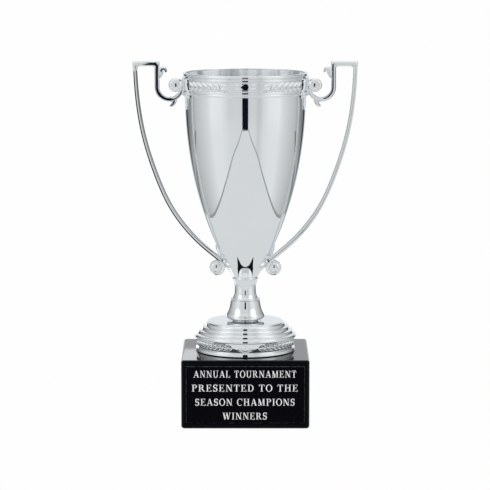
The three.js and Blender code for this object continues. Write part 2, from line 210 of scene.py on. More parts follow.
def rounded_box(width, depth, corner, levels, steps=8):
    """A box through rounded rectangles, given as (inset, height) levels from bottom to top."""
    loops = []
    for inset, height in levels:
        radius = max(corner - inset, 0.15)
        x, y = width / 2 - inset - radius, depth / 2 - inset - radius
        corners = [(x, -y, -90), (x, y, 0), (-x, y, 90), (-x, -y, 180)]
        outline = [p for cx, cy, a in corners for p in arc(cx, cy, radius, a, a + 90, steps)]
        loops.append([(px, py, height) for px, py in outline])
    return skin(loops)


def add_object(name, data):
    obj = bpy.data.objects.new(name, data)
    bpy.context.scene.collection.objects.link(obj)
    return obj


def mesh_object(name, shape, crease=35):
    """A mesh of the shape in metres, smooth but for edges sharper than the crease angle."""
    points, faces = shape
    mesh = bpy.data.meshes.new(name)
    mesh.from_pydata([tuple(c * MM for c in point) for point in points], [], faces)
    tidy_mesh(mesh, crease)
    return add_object(name, mesh)


def tidy_mesh(mesh, crease):
    work = bmesh.new()
    work.from_mesh(mesh)
    bmesh.ops.remove_doubles(work, verts=work.verts, dist=2e-7)
    bmesh.ops.recalc_face_normals(work, faces=work.faces)
    for face in work.faces:
        face.smooth = True
    work.to_mesh(mesh)
    work.free()
    mesh.set_sharp_from_angle(angle=radians(crease))


def carve(obj, tools, crease=35):
    """Cuts the tool shapes out of an object's mesh."""
    for tool in tools:
        cutter = mesh_object(f"{obj.name}.cutter", tool)
        modifier = obj.modifiers.new("cut", "BOOLEAN")
        modifier.operation = "DIFFERENCE"
        modifier.solver = "EXACT"
        modifier.object = cutter
        seen = obj.evaluated_get(bpy.context.evaluated_depsgraph_get())
        old_mesh, obj.data = obj.data, bpy.data.meshes.new_from_object(seen)
        obj.modifiers.clear()
        bpy.data.meshes.remove(old_mesh)
        bpy.data.objects.remove(cutter)
    tidy_mesh(obj.data, crease)
    return obj


def finish_piece(obj, look, slot, *nodes):
    """Gives a piece its material, its place on the body and the CAD nodes it stands for."""
    obj.data.materials.clear()
    obj.data.materials.append(look)
    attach(obj, "root")
    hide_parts(*nodes)
    return obj


def second_look(obj, look, chosen):
    """Gives the faces that pass a test a second material."""
    obj.data.materials.append(look)
    for face in obj.data.polygons:
        if chosen(face):
            face.material_index = 1


def flatten_shading(obj):
    """Lets large flat faces set the shading, so that rounded edges do not bend their reflections."""
    modifier = obj.modifiers.new("flat faces", "WEIGHTED_NORMAL")
    modifier.weight = 100
    modifier.keep_sharp = True


# ---- Materials


def put(tree, socket, value):
    """Links a socket to another one, or sets it to a plain value."""
    if isinstance(value, bpy.types.NodeSocket):
        tree.links.new(value, socket)
    else:
        socket.default_value = value


def add_node(tree, kind, inputs):
    """A new node with its named inputs linked or set."""
    node = tree.nodes.new(f"ShaderNode{kind}")
    for name, value in inputs.items():
        put(tree, node.inputs[name], value)
    return node


def ramp(tree, value, *stops):
    """A colour ramp over (position, colour) stops."""
    node = add_node(tree, "ValToRGB", {"Fac": value})
    elements = node.color_ramp.elements
    while len(elements) < len(stops):
        elements.new(0.5)
    for element, (position, colour) in zip(elements, stops):
        element.position = position
        element.color = (*colour, 1)
    return node.outputs["Color"]


class Look:
    """A material whose shader is driven by noise patterns that are fixed to the object."""

    def __init__(self, name, roughness, metallic=0.0, specular=0.5):
        self.material = bpy.data.materials.new(name)
        self.material.use_nodes = True
        self.tree = self.material.node_tree
        self.shader = self.tree.nodes["Principled BSDF"]
        self.set("Roughness", roughness)
        self.set("Metallic", metallic)
        self.set("Specular IOR Level", specular)

    def set(self, name, value):
        put(self.tree, self.shader.inputs[name], value)

    def noise(self, scale, detail, stretch=(1, 1, 1), roughness=0.5):
        """A noise pattern, its scale in features per metre."""
        place = add_node(self.tree, "TexCoord", {}).outputs["Object"]
        place = add_node(self.tree, "Mapping", {"Vector": place, "Scale": stretch}).outputs["Vector"]
        inputs = {"Vector": place, "Scale": scale, "Detail": detail, "Roughness": roughness}
        return add_node(self.tree, "TexNoise", inputs).outputs["Fac"]

    def tint(self, pattern, *stops):
        self.set("Base Color", ramp(self.tree, pattern, *stops))

    def haze(self, pattern, lowest, highest):
        """Varies the roughness between two values with the middle of a pattern's range."""
        inputs = {"Value": pattern, "From Min": 0.3, "From Max": 0.7, "To Min": lowest, "To Max": highest}
        self.set("Roughness", add_node(self.tree, "MapRange", inputs).outputs["Result"])

    def relief(self, pattern, depth):
        node = add_node(self.tree, "Bump", {"Height": pattern, "Distance": depth})
        self.set("Normal", node.outputs["Normal"])


def chrome_look():
    """Bright chrome plating: a mirror with faint waves, haze and a slightly uneven tint."""
    look = Look("chrome plating", 0.035, metallic=1.0)
    look.tint(look.noise(40, 2), (0.3, (0.85, 0.878, 0.895)), (0.7, (0.87, 0.898, 0.915)))
    look.haze(look.noise(260, 4), 0.02, 0.05)
    look.relief(look.noise(110, 1), 0.000004)
    return look.material


def spun_look():
    """The inside of the bowl: thin plating over the spinning marks, with soft upright streaks of painted
    reflection in its colour.
    """
    look = Look("plated spun metal", 0.4, metallic=0.55)
    # Painted reflection: light and dark upright streaks in the colour stand in for the streaky reflections of
    # the brushed inside.
    painted_reflection_streaks = look.noise(95, 2, stretch=(1, 1, 0.05))
    stops = (0.42, (0.46, 0.49, 0.51)), (0.5, (0.78, 0.8, 0.82)), (0.57, (0.97, 0.99, 1.0))
    look.tint(painted_reflection_streaks, *stops)
    marks = look.noise(60, 3, stretch=(0.2, 0.2, 12))
    look.haze(marks, 0.34, 0.42)
    look.relief(marks, 0.000004)
    return look.material


def cut_edge_look():
    """The name plate's bevelled edge, where the lacquer is trimmed back to dull metal."""
    look = Look("trimmed metal edge", 0.45, metallic=1.0)
    look.tint(look.noise(400, 4), (0.35, (0.02, 0.02, 0.024)), (0.65, (0.14, 0.145, 0.155)))
    look.haze(look.noise(900, 3), 0.35, 0.55)
    return look.material


def black_gloss_look():
    """Black moulded plastic, glossy, with a fine orange peel and a few dusty specks."""
    look = Look("black moulded plastic", 0.1)
    look.set("Specular Tint", (0.06, 0.07, 0.09, 1))
    look.set("IOR", 1.62)
    stops = (0.45, (0.0008, 0.001, 0.0016)), (0.62, (0.0016, 0.0019, 0.003)), (0.78, (0.012, 0.013, 0.017))
    look.tint(look.noise(900, 5, roughness=0.7), *stops)
    look.haze(look.noise(120, 4), 0.05, 0.13)
    look.relief(look.noise(900, 2), 0.0000025)
    return look.material


def lacquer_look():
    """Black lacquer on the name plate, a little bluer than the base, with a fine speckle."""
    look = Look("black lacquer", 0.22)
    look.set("Specular Tint", (0.06, 0.06, 0.08, 1))
    stops = (0.4, (0.0006, 0.0006, 0.001)), (0.6, (0.0012, 0.0012, 0.002)), (0.75, (0.008, 0.008, 0.011))
    look.tint(look.noise(1500, 4, roughness=0.7), *stops)
    look.haze(look.noise(300, 3), 0.16, 0.3)
    look.relief(look.noise(2500, 2), 0.000003)
    return look.material


def engraved_look():
    """Bare satin metal where the lacquer is cut away, with the cutter's fine strokes."""
    look = Look("bare satin metal", 0.5, metallic=0.15)
    strokes = look.noise(700, 3, stretch=(1, 1, 6))
    look.tint(strokes, (0.3, (0.66, 0.67, 0.68)), (0.7, (0.8, 0.8, 0.81)))
    look.relief(strokes, 0.00001)
    return look.material


def zinc_look():
    """Zinc-plated steel with its soft, cloudy shine."""
    look = Look("zinc-plated steel", 0.3, metallic=1.0)
    look.tint(look.noise(500, 3), (0.3, (0.5, 0.51, 0.53)), (0.7, (0.66, 0.67, 0.68)))
    look.haze(look.noise(900, 4), 0.22, 0.4)
    look.relief(look.noise(3000, 2), 0.000004)
    return look.material


def rough_look(name, dark, light, grain, roughness, depth, stretch=(1, 1, 1), sheen=0.0):
    """A dull material with a two-tone grain and a matching relief."""
    look = Look(name, roughness, specular=0.3)
    look.set("Sheen Weight", sheen)
    pattern = look.noise(grain, 6, stretch=stretch, roughness=0.65)
    look.tint(pattern, (0.35, dark), (0.65, light))
    look.relief(pattern, depth)
    return look.material


CHROME = chrome_look()
SPUN = spun_look()
CUT_EDGE = cut_edge_look()
BLACK_GLOSS = black_gloss_look()
LACQUER = lacquer_look()
ENGRAVED = engraved_look()
ZINC = zinc_look()
CAD_LOOKS = {
    "base_cover": rough_look("fibreboard", (0.17, 0.11, 0.065), (0.3, 0.21, 0.13), 1200, 0.8, 0.00006,
                             stretch=(1, 4, 1)),
    "base_weight": rough_look("cast iron", (0.05, 0.05, 0.052), (0.13, 0.125, 0.12), 700, 0.7, 0.0002),
    "base_felt": rough_look("felt", (0.006, 0.03, 0.014), (0.02, 0.08, 0.04), 2600, 0.95, 0.00012, sheen=0.5),
    "plate_tape": rough_look("foam tape", (0.72, 0.72, 0.68), (0.84, 0.84, 0.8), 3000, 0.85, 0.00005),
    "foot_spacer": rough_look("grey plastic", (0.16, 0.17, 0.18), (0.22, 0.23, 0.24), 1500, 0.5, 0.00001),
    **dict.fromkeys(["base_washer", "lock_washer", "base_nut"], ZINC),
    **{f"cover_screw_{k}": ZINC for k in (1, 2, 3, 4)},
}


def paint_hidden_nodes():
    """The CAD nodes inside the base keep their shape and get their own materials."""
    for node, look in CAD_LOOKS.items():
        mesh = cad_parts[node].data
        mesh.materials.clear()
        mesh.materials.append(look)


def chrome_piece(name, shape, node):
    return finish_piece(mesh_object(name, shape), CHROME, "chrome", node)


# ---- Relief: leaves, veins and bosses that lie on a turned surface

# A leaf across its width: a rounded ridge that falls to a crease and a thin edge on either side.
LEAF_SECTION = [(-1, -1), (-1, 0.1), (-0.6, 0.62), (-0.2, 0.96), (0.2, 1), (0.65, 0.5), (1, 0.1), (1, -1)]


def leaf(start, end, width, height, sink=0.35):
    """A pointed leaf in the (along, up, out) coordinates of the surface it lies on."""
    start, end = Vector(start), Vector(end)
    along = end - start
    across = Vector((-along.y, along.x)).normalized()
    loops = []
    for t in np.linspace(0, 1, 13):
        swell = sin(pi * t**0.8) ** 0.75
        loop = []
        for side, out in LEAF_SECTION:
            place = start + along * t + across * (side * swell * width / 2)
            rise = out * height * swell**0.7 if out >= 0 else -sink
            loop.append((place.x, place.y, rise))
        loops.append(loop)
    return skin(loops)


def vein(path, width, height, sink=0.35):
    """A raised half-round line along a path, in the coordinates of the surface it lies on."""
    loops = []
    for left, right in sides(path, [width] * len(path)):
        middle = (left + right) / 2
        across = (right - left) / 2
        loop = []
        for angle in np.radians((180, 150, 120, 90, 60, 30, 0)):
            place = middle + across * cos(angle)
            loop.append((place[0], place[1], height * sin(angle)))
        loop.append((*right, -sink))
        loop.append((*left, -sink))
        loops.append(loop)
    return skin(loops)


def raised(outline, levels):
    """A boss over an outline, from its foot up, as (share of the outline's size, height) levels."""
    places = np.array(outline)
    middle = places.mean(axis=0)
    return skin([[(x, z, out) for x, z in middle + (places - middle) * share] for share, out in levels])


def plaque(outline, height, bevel):
    """A flat-topped boss with a bevelled edge."""
    size = np.abs(np.array(outline) - np.mean(outline, axis=0)).max()
    return raised(outline, [(1, -0.35), (1, height - bevel), (1 - bevel / size, height)])


def boss(outline, height):
    """A domed boss."""
    angles = np.radians((0, 25, 45, 62, 76, 86))
    return raised(outline, [(1, 0), *[(cos(a), height * sin(a)) for a in angles]])


def around(radius_at, middle=0.0):
    """The map from a turned surface's (along, up, out) to the frame."""

    def place(along, up, out):
        radius = radius_at(up)
        angle = radians(middle) + along / radius
        reach = radius + out
        return reach * sin(angle), -reach * cos(angle), up

    return place


def laurel_branch(stem, first, last, pitch, rise, fall, width, height):
    """A branch along the band: a stem, with a leaf above and below it at each pitch."""
    shapes = [vein([(s, stem) for s in np.linspace(first, last, 24)], 0.5, height * 0.6)]
    at = first
    while at + rise[0] < last + pitch:
        shapes.append(leaf((at, stem + 0.15), (at + rise[0], stem + rise[1]), width, height))
        shapes.append(leaf((at, stem - 0.15), (at + fall[0], stem - fall[1]), width, height))
        at += pitch
    return together(*shapes)


def mirrored(shape):
    """The relief shape with its along direction turned round."""
    return mapped(shape, lambda along, up, out: (-along, up, out))


def front_and_back(relief, radius_at):
    """A relief laid on a turned surface at the front, and again at the back."""
    return together(mapped(relief, around(radius_at)), mapped(relief, around(radius_at, 180)))


# ---- Bowl and rim band

# The bowl's side. Its lowest stretch is steep enough to mirror the foot below it.
BOWL_KNOTS = [
    (7.25, BOWL_FOOT), (8.65, 88.0), (10.9, 92.0), (13.49, 97.0), (20.7, 112.3), (27.7, 131.5),
    (32.6, 151.5), (35.55, 171.5), (36.66, 187.0), (36.8, BAND_FOOT),
]
BOWL_CURVE = through(BOWL_KNOTS, 12)
BOWL_WALL = 0.85
MOUTH_WALL = 0.6
MOUTH_RADIUS = 36.35


def bowl_radius(height):
    radii, heights = zip(*BOWL_CURVE)
    return float(np.interp(height, heights, radii))


def bowl_body():
    inside = [left for left, right in sides(BOWL_CURVE, [2 * BOWL_WALL] * len(BOWL_CURVE))][3:-2]
    floor = BOWL_FOOT + 1.2
    mouth = MOUTH_RADIUS - MOUTH_WALL
    outline = [
        (ROD_HOLE, BOWL_FOOT),
        *BOWL_CURVE,
        (MOUTH_RADIUS, BAND_FOOT),
        (MOUTH_RADIUS, LIP - 0.7),
        (mouth, LIP - 0.7),
        (mouth, BAND_FOOT - 0.6),
        *[tuple(place) for place in reversed(inside)],
        (6.6, floor),
        (ROD_HOLE, floor),
    ]
    bowl = chrome_piece("cup_bowl", turned(outline, 224), "bowl")
    second_look(bowl, SPUN, lambda face: face.normal.xy.dot(face.center.xy) < 0)


def moulding(outermost, bottom, top, inner_bottom, inner_top, corner):
    """The section of a raised ring with a flat rim and rounded corners."""
    flat_low, flat_high = bottom + corner, top - corner
    return [
        (inner_bottom, bottom),
        *arc(outermost - corner, flat_low, corner, -80, 0, 5),
        *arc(outermost - corner, flat_high, corner, 0, 80, 5),
        (inner_top, top),
    ]


def band_outline():
    """The section of the rim band: a collar, a bead, the plain band, a bead and the rolled lip."""
    inner = MOUTH_RADIUS + 0.12
    return [
        (inner, BAND_FOOT),
        (36.85, BAND_FOOT),
        *arc(36.75, 197.5, 0.7, -65, 65, 12),
        *moulding(37.4, 198.5, 199.8, 36.98, 36.98, 0.25),
        *arc(BAND_RADIUS + 0.6, 200.5, 0.6, 240, 180, 6),
        *arc(BAND_RADIUS + 0.6, 204.9, 0.6, 180, 120, 6),
        *moulding(37.35, 205.6, 206.9, 36.98, 37.0, 0.3),
        (37.1, 207.3),
        *arc(LIP_RADIUS - 0.45, LIP - 1.25, 0.45, -70, 0, 5),
        *arc(LIP_RADIUS - 0.7, LIP - 0.7, 0.7, 0, 90, 8),
        (36.2, LIP),
        *arc(36.1, LIP - 0.35, 0.35, 90, 180, 5),
        (MOUTH_RADIUS - MOUTH_WALL, LIP - 0.66),
        (inner, LIP - 0.66),
    ]


def rim_wreath():
    """Two laurel branches that grow from a bud at the front towards the handles."""
    z = WREATH_HEIGHT
    corners = [(-3.1, 0, 0.3), (-0.4, -2.2, 1.2), (1.5, -2.1, 1.2)]
    corners += [(2.1, 0, 1.5), (1.5, 2.1, 1.2), (-0.4, 2.2, 1.2)]
    bud = [(x, z + up) for x, up in filleted(corners)]
    half = together(
        laurel_branch(z - 1.1, 15.0, 41.5, 4.2, (6.2, 3.5), (4.6, 2.2), 2.1, 1.0),
        leaf((9.8, z - 2.0), (18.0, z - 3.0), 1.7, 1.0),
        leaf((9.8, z + 0.2), (17.6, z + 1.5), 2.3, 1.0),
        leaf((2.6, z + 1.9), (7.4, z + 0.2), 1.0, 0.35),
        leaf((2.6, z - 1.7), (7.0, z - 0.2), 0.9, 0.3),
    )
    return together(plaque(bud, 0.6, 0.3), half, mirrored(half))


def rim_band():
    shape = together(turned(band_outline(), 224), front_and_back(rim_wreath(), lambda up: BAND_RADIUS))
    chrome_piece("cup_rim", shape, "rim_band")


# ---- Foot and stem


def bead(outermost, height, radius, start, end, rim=0.7):
    """A moulding whose rim leans back a little between two round edges."""
    lean = radians(13)
    centre = outermost - radius
    low_half = arc(centre, height - rim / 2, radius, start, 2, 9)
    high_half = arc(centre - rim * sin(lean), height + rim / 2, radius, 14, end, 9)
    return [*low_half, *high_half]


FOOT_BAND = [(28.7, 43.9), (29.6, 49.4)]


def foot_radius(height):
    return float(np.interp(height, *reversed(list(zip(*FOOT_BAND)))))


def foot_wreath():
    """A diamond over a folded ribbon at the front, with a laurel branch on either side."""
    middle = 46.9
    corners = [(-3.4, 0), (0, -1.9), (3.4, 0), (0, 1.9)]
    diamond = filleted([(x, middle + z, 0.4) for x, z in corners])
    ribbon = vein([(0, 43.9), (2.6, 45.1), (4.6, 46.0)], 1.1, 0.8)
    branch = laurel_branch(middle - 0.2, 7.6, 40.5, 3.3, (4.9, 2.1), (4.6, 2.0), 1.7, 1.1)
    half = together(ribbon, branch)
    dot = vein([(-0.35, middle), (0.35, middle)], 0.8, 1.2)
    return together(plaque(diamond, 0.5, 0.4), dot, half, mirrored(half))


def foot_body():
    outline = [
        (27.2, BASE_TOP),
        *bead(30.2, 42.4, 0.6, -95, 78, rim=1.2),
        *FOOT_BAND,
        *bead(30.7, 50.5, 0.75, -75, 80),
        *bead(29.1, 52.7, 1.0, -12, 80),
        *bead(26.75, 54.95, 1.0, -12, 80),
        *bead(24.45, 57.1, 0.95, -12, 60),
        *through([(23.5, 58.5), (23.0, 58.9), (22.2, 59.2), (20.5, 59.35), (9.0, PLATFORM + 0.2)], 6),
        (ROD_HOLE, PLATFORM),
        (ROD_HOLE, PLATFORM - 1.4),
        *[(9.0, PLATFORM - 1.4), (15.5, 57.7), (20.8, 56.9), (27.2, 50.6), (26.6, 43.9)],
    ]
    shape = together(turned(outline, 192), front_and_back(foot_wreath(), foot_radius))
    chrome_piece("cup_foot", shape, "foot")


def stem():
    """The turned pieces between the foot and the bowl, from the points up their outsides."""
    spool = [(7.3, PLATFORM), *arc(7.6, (PLATFORM + SPOOL_TOP) / 2, 0.5, -80, 80, 8), (7.3, SPOOL_TOP)]
    lower_bell = [(11.8, 62.1), (11.45, 63.3), (10.8, 64.5), (10.15, 65.9)]
    bell = through([*lower_bell, (9.65, 67.4), (9.35, 68.9), (9.05, 70.4)], 5)
    knop = [(8.2, SPOOL_TOP), *arc(9.9, SPOOL_TOP + 1.9, 1.9, -90, -8, 12), *bell]
    knop += [*arc(8.45, 71.35, 0.5, 5, 80, 6), (8.2, KNOP_TOP)]
    collar = [(8.2, KNOP_TOP), *arc(8.4, 72.45, 0.5, -60, 80, 10), (8.1, COLLAR_TOP)]
    waist_side = [(7.1, 74.4), (6.6, 76.2), (6.45, 78.8), (6.6, 81.2), (7.0, 83.2)]
    waist = through([(7.85, COLLAR_TOP), *waist_side, (7.35, WAIST_TOP)], 5)
    ring = [(7.3, WAIST_TOP), *arc(7.45, (WAIST_TOP + BOWL_FOOT) / 2, 0.46, -75, 75, 10), (7.3, BOWL_FOOT)]
    pieces = {"spool": spool, "knop": knop, "collar": collar, "waist": waist, "ring": ring}
    for name, side in pieces.items():
        outline = [(ROD_HOLE, side[0][1]), *side, (ROD_HOLE, side[-1][1])]
        chrome_piece(f"cup_{name}", turned(outline, 128), f"stem_{name}")


# ---- Handles

# Sections of the casting, from the left edge of its path to the right one across the front, as shares of the
# half width and the half thickness: a rounded edge, a nearly flat face and a sloping flank.
HOOK_FACE = [
    (-1, -0.1), (-0.97, -0.5), (-0.85, -0.75), (-0.55, -0.954), (-0.02, -0.99),
    (0.03, -0.99), (0.5, -0.99), (0.96, -0.55), (1, -0.1),
]
LEG_FRONT = [
    (-1, -0.1), (-0.95, -0.46), (-0.7, -0.97), (-0.15, -0.99), (0, -0.987),
    (0.2, -0.975), (0.55, -0.8), (0.95, -0.46), (1, -0.1),
]
LEG_BACK = [
    (-1, -0.1), (-0.95, -0.46), (-0.78, -0.99), (-0.34, -0.978), (-0.28, -0.9764),
    (0.25, -0.85), (0.31, -0.848), (0.43, -0.8456), (1, -0.1),
]
LEAF_FACE = [(-1, -0.1), (-0.85, -0.5), (-0.35, -0.93), (0.25, -0.93), (0.85, -0.5), (1, -0.1)]


def bar(pairs, half, sections):
    """A solid bar between two edges in the XZ plane, with its front and back sections at each pair."""
    loops = []
    for (left, right), (front, back) in zip(pairs, sections):
        left, right = Vector(left), Vector(right)
        middle, across = (left + right) / 2, (right - left) / 2
        loop = []
        for side, out in [*front, *[(side, -out) for side, out in reversed(back)]]:
            place = middle + across * side
            loop.append((place.x, out * half, place.y))
        loops.append(loop)
    return skin(loops)


def handle_edges():
    """The edges of the handle as pairs of points: the hook and arm, the level bar, and the long leg."""
    sweep = arc(45.4, 200.4, 7.3, 142, 360, 44)
    arm = [*sweep, (52.7, 202.2), (52.7, 204.2), (52.7, 207.5), (52.7, 211.0)]
    widths = np.interp(np.linspace(0, 1, len(arm)), [0, 0.12, 0.25, 0.5, 1], [1.5, 2.1, 2.5, 2.9, 3.0])
    hook = sides(arm, widths)
    inside = HANDLE_TOP - 4.6
    hook.extend(zip(arc(51.7, HANDLE_TOP - 0.5, 0.5, 180, 90, 6), arc(55.7, inside, 1.5, 180, 90, 6)))
    outer_corner = arc(HANDLE_REACH - 1.2, HANDLE_TOP - 1.2, 1.2, 90, 0, 6)
    level_bar = list(zip(outer_corner, arc(HANDLE_REACH - 4.6, inside, 1.5, 90, 0, 6)))
    upper_leg = [(HANDLE_REACH - 1.55, 210.6), (65.45, 203.0), (64.3, 190.5), (61.6, 174.3)]
    lower_leg = [(57.2, 158.1), (51.3, 141.8), (43.2, 125.6), (30.2, 109.3), (14.6, 95.9)]
    leg = through([*upper_leg, *lower_leg], 8)
    return hook, level_bar, sides(leg, np.linspace(2.7, 3.0, len(leg)))


def button(centre, outline):
    """A round boss across the handle, from (radius, half thickness) points."""
    section = [(r, -y) for r, y in outline] + [(r, y) for r, y in reversed(outline)]
    x, z = centre
    return mapped(turned(section, 64), lambda px, py, pz: (x + px, pz, z + py))


def dome(radius, height, curve, steps=6):
    """Points down a shallow dome, from its middle to its edge."""
    return [(r, height - (curve - sqrt(curve**2 - r**2))) for r in np.linspace(0, radius, steps)]


def upper_scroll():
    centre = dome(2.2, 3.0, 9.5, 9)
    ring = [(2.4, 2.66), (2.65, 2.66), (3.1, 2.48), (3.55, 2.15), (3.95, 1.6), (4.1, 0.8)]
    return button(UPPER_SCROLL, [*centre, *ring])


def lower_scroll():
    drum = [(0, 1.9), (3.2, 1.9), (3.45, 2.15), (4.0, 2.3), (4.45, 2.1), (4.7, 1.6), (4.75, 0.8)]
    centre = [*dome(1.5, 3.1, 7.0), (1.9, 2.86), (2.6, 2.62), (3.1, 2.2), (3.3, 1.6), (3.3, 0.8)]
    drum = button(LOWER_SCROLL + Vector((-0.35, 0.1)), drum)
    return together(drum, button(LOWER_SCROLL + Vector((0.35, 0.1)), centre))


def leaf_tip(points, width):
    """A small leaf that curls off the handle, as a tapered bar through the points."""
    path = through(points, 5)
    swell = 1 - 0.6 * np.linspace(0, 1, len(path)) ** 1.5
    return bar(sides(path, width * swell), 1.7, [(LEAF_FACE, LEAF_FACE)] * len(path))


def bowl_leaves():
    """The acanthus pad that spreads over the bowl where the leg lands on it."""
    pad = [leaf((0, 94.0), (0, 105.5), 6.5, 1.7, sink=0.7), leaf((0, 98.0), (0, 89.5), 5.0, 1.5, sink=0.7)]
    for side in (-1, 1):
        pad.append(leaf((0, 97.0), (side * 7.2, 98.6), 3.4, 1.3, sink=0.7))
        pad.append(leaf((side * -1.5, 95.6), (side * 9.4, 93.4), 3.6, 1.5, sink=0.7))
    return mapped(together(*pad), around(bowl_radius, 90))


def handle_casting():
    hook, level_bar, leg = handle_edges()
    pairs = [*hook, *level_bar, *leg]
    sections = [(HOOK_FACE, HOOK_FACE)] * (len(hook) + len(level_bar)) + [(LEG_FRONT, LEG_BACK)] * len(leg)
    socket = filleted([(0, 37.9, 0), (3.4, 37.9, 0.4), (3.0, 39.0, 0.5), (2.6, 41.5, 0), (0, 41.5, 0)])
    across = Matrix.Translation((0, 0, UPPER_SCROLL.y)) @ Matrix.Rotation(radians(90), 4, "Y")
    upper_leaf = [(52.2, 207.0), (50.9, 208.6), (50.3, 210.4), (49.3, 211.4), (48.0, 211.0), (47.4, 209.3)]
    lower_leaf = [(42.3, 194.4), (42.5, 192.4), (42.9, 190.8), (43.8, 189.6), (45.1, 189.1)]
    return together(
        bar(pairs, HANDLE_HALF, sections),
        upper_scroll(),
        lower_scroll(),
        moved(turned(socket, 48), across),
        leaf_tip(upper_leaf, 3.8),
        leaf_tip(lower_leaf, 3.4),
        bowl_leaves(),
    )


def handles():
    """The two castings, each turned a little about its upper scroll."""
    casting = handle_casting()
    for side, shape, way in (("right", casting, 1), ("left", half_turn(casting), -1)):
        pivot = Matrix.Translation((way * UPPER_SCROLL.x, 0, 0))
        askew = pivot @ Matrix.Rotation(radians(HANDLE_SKEW), 4, "Z") @ pivot.inverted()
        chrome_piece(f"grip_{side}", moved(shape, askew), f"handle_{side}")


# ---- Handle brackets


def bracket_outline():
    """Half of the bracket's outline in (sideways, up), from its lower middle to its top."""
    wave = [(0, 195.6), (3.0, 196.4), (6.5, 195.4), (9.6, 196.4), (11.0, 194.6), (11.9, 191.4), (12.5, 187.8)]
    corner = [(12.5, 187.8), (13.1, 191.4), (13.9, 194.8), (16.2, 195.6), (18.2, 196.4), (17.4, 198.4)]
    side = [(17.4, 198.4), (15.6, 200.2), (14.9, 203.0), (15.2, 205.6), (14.4, 206.6)]
    return [*through(wave, 4), *through(corner, 4)[1:], *through(side, 4)[1:]]


def bracket_sheet():
    """The bracket's plate laid flat, cut fine enough to follow the band."""
    half = bracket_outline()
    outline = [*half, *[(-x, z) for x, z in reversed(half) if x > 0]]
    work = bmesh.new()
    face = work.faces.new([work.verts.new((x, z, 0)) for x, z in outline])
    for item in bmesh.ops.extrude_face_region(work, geom=[face])["geom"]:
        if isinstance(item, bmesh.types.BMVert):
            item.co.z = 1
    bmesh.ops.triangulate(work, faces=work.faces[:])
    for x in np.arange(-17, 17.5, 1.0):
        geometry = [*work.verts, *work.edges, *work.faces]
        bmesh.ops.bisect_plane(work, geom=geometry, plane_co=(x, 0, 0), plane_no=(1, 0, 0), dist=1e-5)
    work.verts.index_update()
    points = [tuple(v.co) for v in work.verts]
    faces = [tuple(v.index for v in f.verts) for f in work.faces]
    work.free()
    return points, faces


def on_bracket(sideways, up, out):
    """From the bracket's own coordinates to the frame, on the right of the band."""
    skirt = min(max((196.3 - up) / 1.2, 0), 1)
    radius = 37.42 - 0.5 * skirt + out
    return sqrt(radius**2 - sideways**2), sideways, up


# The bracket's leaves: the start and the tip as (sideways, up), the width and the height.
BRACKET_LEAVES = [
    ((12.5, 196.5), (12.5, 188.0), 1.5, 1.0),
    ((9.0, 197.2), (15.6, 198.4), 1.6, 1.2),
    *[((1.0, 198.6), (reach, 205.9 - reach * 0.28), 1.9, 1.1) for reach in (3.6, 7.0, 10.2)],
    ((4.5, 198.2), (11.8, 199.6), 1.7, 1.1),
]


def bracket_relief():
    """Raised work on the bracket: tall oval bosses, scrolls, a scalloped fan and a pointed tail."""
    shapes = []
    for side in (-1, 1):
        angles = np.linspace(0, TURN, 24)[:-1]
        shapes.append(boss([(side * 14.2 + 1.5 * cos(a), 202.6 + 3.9 * sin(a)) for a in angles], 1.6))
        coil = []
        for k in range(8):
            radius, angle = 0.4 + 0.22 * k, 0.9 * k
            coil.append((side * (16.3 + radius * cos(angle)), 196.9 + radius * sin(angle)))
        shapes.append(vein(through(coil, 4), 0.8, 1.1, sink=0))
        for start, tip, width, height in BRACKET_LEAVES:
            shapes.append(leaf((side * start[0], start[1]), (side * tip[0], tip[1]), width, height, sink=0))
    shapes.append(vein([(x, 206.2) for x in np.linspace(-13.8, 13.8, 24)], 0.8, 1.0, sink=0))
    return together(*shapes)


def brackets():
    plate = mapped(bracket_sheet(), lambda x, z, out: on_bracket(x, z, 0.6 * out))
    relief = mapped(bracket_relief(), lambda x, z, out: on_bracket(x, z, max(0.3, 0.5 + 0.6 * out)))
    right = together(plate, relief)
    chrome_piece("bracket_right", right, "handle_bracket_right")
    chrome_piece("bracket_left", half_turn(right), "handle_bracket_left")


# ---- Fasteners inside the bowl


def washer_shape(hole, radius, bottom, top):
    edge = (top - bottom) / 4
    corners = [(hole, bottom, edge), (radius, bottom, edge), (radius, top, edge), (hole, top, edge)]
    return turned(filleted(corners, 3), 64)


def pan_head_screw(name, length):
    """A pan-head screw with a cross recess, its head below zero and its shank above."""
    head = [(0, -1.5), (1.0, -1.49), (1.6, -1.32), (2.1, -0.9), (2.35, -0.4), (2.4, -0.08), (2.32, 0)]
    thread = [(1.45 if k % 2 else 1.2, 0.2 + k * 0.25) for k in range(int((length - 0.4) / 0.25))]
    screw = mesh_object(name, turned([*head, *thread, (0, length)], 40), 40)
    slots = []
    for width, depth in ((2.5, 0.55), (0.55, 2.5)):
        loops = []
        for z, share in ((-1.7, 1.0), (-0.55, 0.4)):
            x, y = width * share / 2, depth * share / 2
            loops.append([(x, -y, z), (x, y, z), (-x, y, z), (-x, -y, z)])
        slots.append(skin(loops))
    return carve(screw, slots, 40)


def place_pair(obj, matrix, node):
    """Puts a piece on the right, and a copy of it half a turn round on the left."""
    scaled = matrix.copy()
    scaled.translation = matrix.translation * MM
    obj.data.transform(scaled)
    other = add_object(f"{obj.name}_left", obj.data.copy())
    other.data.transform(Matrix.Rotation(pi, 4, "Z"))
    obj.name += "_right"
    finish_piece(obj, ZINC, "steel", f"{node}_right")
    finish_piece(other, ZINC, "steel", f"{node}_left")


